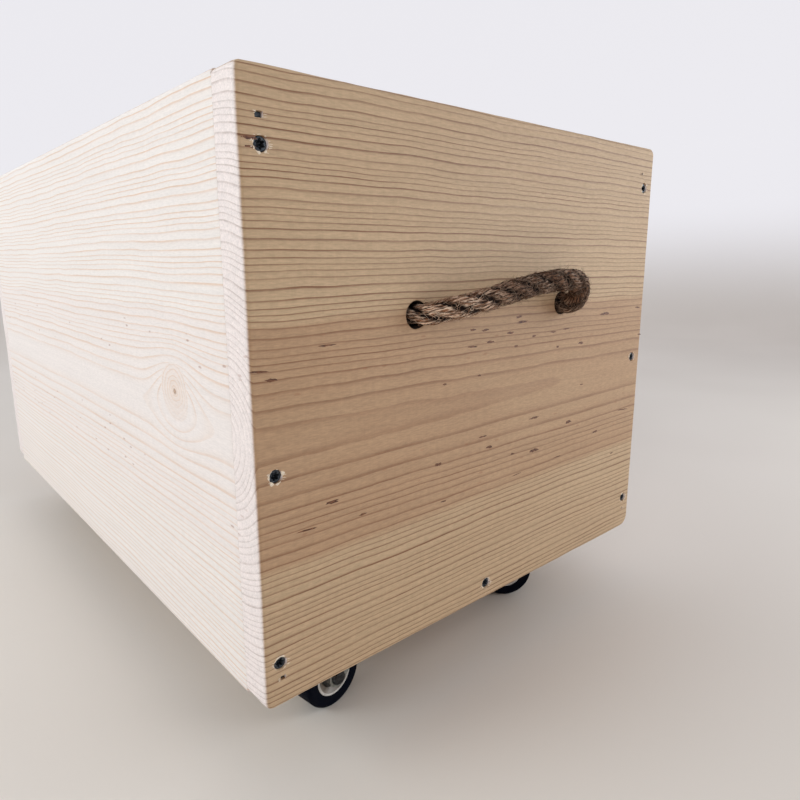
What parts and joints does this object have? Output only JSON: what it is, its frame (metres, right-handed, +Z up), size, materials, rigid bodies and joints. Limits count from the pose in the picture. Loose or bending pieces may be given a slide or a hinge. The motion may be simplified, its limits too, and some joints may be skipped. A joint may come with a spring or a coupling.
{
  "type": "wooden toy box",
  "caption": "Open-topped pine toy box on swivel casters, with a rope handle knotted through each end board.",
  "frame": {"origin": "on the floor, under the middle of the box", "axes": "+X along the length, towards the end called front; +Y across, towards the left side board; +Z up"},
  "size_m": [0.6176, 0.345, 0.35],
  "materials": {
    "pine": "bare sanded pine, matte",
    "jute": "three-strand jute rope, hairy",
    "blackened_steel": "black phosphated, dull",
    "zinc": "bright zinc plate",
    "wheel_plastic": "grey moulded nylon",
    "tyre_rubber": "smooth black rubber"
  },
  "bodies": {
    "box": {"side_board_right": "pine", "side_board_left": "pine", "bottom_board": "pine", "end_board_front": "pine", "screw_front_near_top": "blackened_steel", "screw_front_near_middle": "blackened_steel", "screw_front_near_bottom": "blackened_steel", "screw_front_far_top": "blackened_steel", "screw_front_far_middle": "blackened_steel", "screw_front_far_bottom": "blackened_steel", "screw_front_bottom": "blackened_steel", "rope_tail_front_near": "jute", "rope_knot_front_near": "jute", "rope_tail_front_far": "jute", "rope_knot_front_far": "jute", "end_board_rear": "pine", "screw_rear_near_top": "blackened_steel", "screw_rear_near_middle": "blackened_steel", "screw_rear_near_bottom": "blackened_steel", "screw_rear_far_top": "blackened_steel", "screw_rear_far_middle": "blackened_steel", "screw_rear_far_bottom": "blackened_steel", "screw_rear_bottom": "blackened_steel", "rope_tail_rear_near": "jute", "rope_knot_rear_near": "jute", "rope_tail_rear_far": "jute", "rope_knot_rear_far": "jute", "caster_plate_front_right": "zinc", "ball_race_front_right": "zinc", "king_pin_front_right": "zinc", "caster_plate_front_left": "zinc", "ball_race_front_left": "zinc", "king_pin_front_left": "zinc", "caster_plate_rear_right": "zinc", "ball_race_rear_right": "zinc", "king_pin_rear_right": "zinc", "caster_plate_rear_left": "zinc", "ball_race_rear_left": "zinc", "king_pin_rear_left": "zinc"},
    "handle_front": {"rope_bow_front": "jute"},
    "handle_rear": {"rope_bow_rear": "jute"},
    "caster_front_right": {"fork_front_right": "zinc", "axle_front_right": "zinc"},
    "wheel_front_right": {"rim_front_right": "wheel_plastic", "tyre_front_right": "tyre_rubber"},
    "caster_front_left": {"fork_front_left": "zinc", "axle_front_left": "zinc"},
    "wheel_front_left": {"rim_front_left": "wheel_plastic", "tyre_front_left": "tyre_rubber"},
    "caster_rear_right": {"fork_rear_right": "zinc", "axle_rear_right": "zinc"},
    "wheel_rear_right": {"rim_rear_right": "wheel_plastic", "tyre_rear_right": "tyre_rubber"},
    "caster_rear_left": {"fork_rear_left": "zinc", "axle_rear_left": "zinc"},
    "wheel_rear_left": {"rim_rear_left": "wheel_plastic", "tyre_rear_left": "tyre_rubber"}
  },
  "joints": [
    {"name": "swivel_front_right", "type": "hinge", "parent": "box", "child": "caster_front_right", "pos_m": [0.234, -0.092, 0.0475], "axis": [0, 0, 1], "continuous": true},
    {"name": "roll_front_right", "type": "hinge", "parent": "caster_front_right", "child": "wheel_front_right", "pos_m": [0.23595, -0.10788, 0.021], "axis": [0.9925, 0.1219, 0], "continuous": true},
    {"name": "swivel_front_left", "type": "hinge", "parent": "box", "child": "caster_front_left", "pos_m": [0.234, 0.092, 0.0475], "axis": [0, 0, 1], "continuous": true},
    {"name": "roll_front_left", "type": "hinge", "parent": "caster_front_left", "child": "wheel_front_left", "pos_m": [0.22437, 0.07922, 0.021], "axis": [0.7986, -0.6018, 0], "continuous": true},
    {"name": "swivel_rear_right", "type": "hinge", "parent": "box", "child": "caster_rear_right", "pos_m": [-0.234, -0.092, 0.0475], "axis": [0, 0, 1], "continuous": true},
    {"name": "roll_rear_right", "type": "hinge", "parent": "caster_rear_right", "child": "wheel_rear_right", "pos_m": [-0.234, -0.108, 0.021], "axis": [1, 0, 0], "continuous": true},
    {"name": "swivel_rear_left", "type": "hinge", "parent": "box", "child": "caster_rear_left", "pos_m": [-0.234, 0.092, 0.0475], "axis": [0, 0, 1], "continuous": true},
    {"name": "roll_rear_left", "type": "hinge", "parent": "caster_rear_left", "child": "wheel_rear_left", "pos_m": [-0.234, 0.076, 0.021], "axis": [1, 0, 0], "continuous": true},
    {"name": "swing_front", "type": "hinge", "parent": "box", "child": "handle_front", "pos_m": [0.2865, 0, 0.2413], "axis": [0, -1, 0], "range_deg": [-80, 40]},
    {"name": "swing_rear", "type": "hinge", "parent": "box", "child": "handle_rear", "pos_m": [-0.2865, 0, 0.2413], "axis": [0, 1, 0], "range_deg": [-80, 40]}
  ]
}
